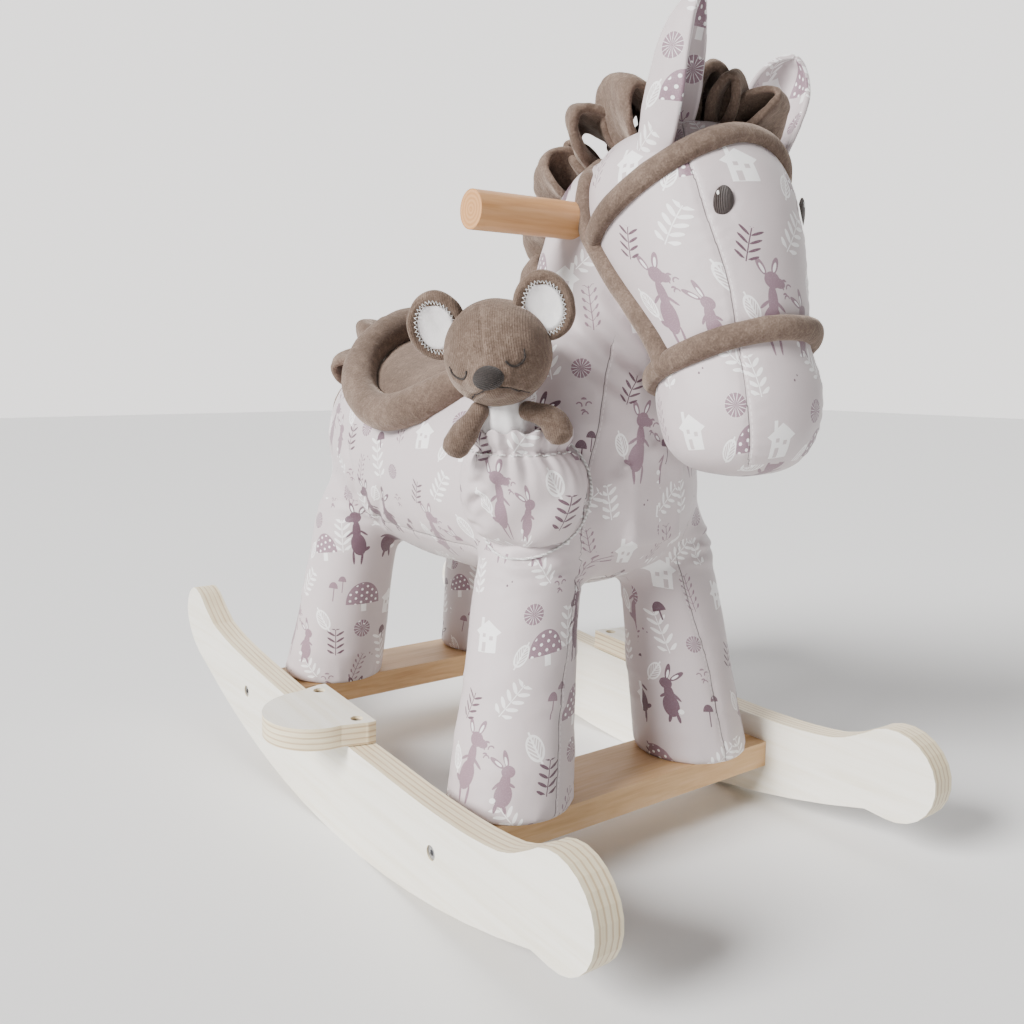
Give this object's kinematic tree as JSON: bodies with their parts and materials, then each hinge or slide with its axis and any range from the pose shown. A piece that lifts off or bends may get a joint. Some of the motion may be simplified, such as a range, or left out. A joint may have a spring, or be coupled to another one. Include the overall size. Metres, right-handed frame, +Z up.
{
  "type": "rocking horse",
  "caption": "Stuffed fabric rocking horse with plush saddle, mane and tail on curved wooden rockers, with footrests, a handle bar and a soft mouse toy in a side pocket.",
  "frame": {"origin": "on the floor under the middle of the object's length and width", "axes": "+Z up, the horse looks along -Y, X across it with the horse's left side at +X"},
  "size_m": [0.374, 0.5708, 0.5007],
  "materials": {
    "white_laminated_wood": "white lacquer over laminated birch, satin; the layers show on the cut edges",
    "oak_board": "clear matt lacquer",
    "beech_dowel": "clear satin lacquer",
    "inner_timber": "plain sawn softwood, hidden inside",
    "zinc_steel": "zinc plated",
    "printed_cotton": "smooth printed cotton satin over a firm filling",
    "brown_plush": "short pile plush",
    "eye_embroidery": "satin stitch embroidery",
    "mouse_plush": "fine ribbed short pile",
    "white_satin": "white satin",
    "nose_fabric": "dark ribbed fabric"
  },
  "bodies": {
    "horse": {"rocker_right": "white_laminated_wood", "rocker_left": "white_laminated_wood", "front_cross_board": "oak_board", "rear_cross_board": "oak_board", "footrest_right": "white_laminated_wood", "footrest_left": "white_laminated_wood", "footrest_screws": "zinc_steel", "rocker_bolts": "zinc_steel", "barrel_nuts": "zinc_steel", "board_dowels": "inner_timber", "front_leg_posts": "inner_timber", "rear_leg_posts": "inner_timber", "post_bolts": "zinc_steel", "body_board": "inner_timber", "body_board_screws": "zinc_steel", "neck_post": "inner_timber", "neck_post_screws": "zinc_steel", "handle": "beech_dowel", "handle_screw": "zinc_steel", "torso": "printed_cotton", "neck": "printed_cotton", "head": "printed_cotton", "leg_front_right": "printed_cotton", "leg_front_left": "printed_cotton", "leg_rear_right": "printed_cotton", "leg_rear_left": "printed_cotton", "ear_right": "printed_cotton", "ear_left": "printed_cotton", "eyes": "eye_embroidery", "mane": "brown_plush", "forelock": "brown_plush", "tail": "brown_plush", "saddle_pad": "brown_plush", "saddle_roll": "brown_plush", "noseband": "brown_plush", "browband": "brown_plush", "cheek_strap": "brown_plush", "pocket": "printed_cotton"},
    "mouse": {"mouse_head": "mouse_plush", "mouse_body": "white_satin", "mouse_arms": "mouse_plush", "mouse_ears": "mouse_plush", "mouse_ear_linings": "white_satin", "mouse_nose": "nose_fabric"}
  },
  "joints": [
    {"name": "mouse_lift", "type": "slide", "parent": "horse", "child": "mouse", "axis": [-0.2799, -0.196, 0.9398], "range_m": [0, 0.035]}
  ]
}
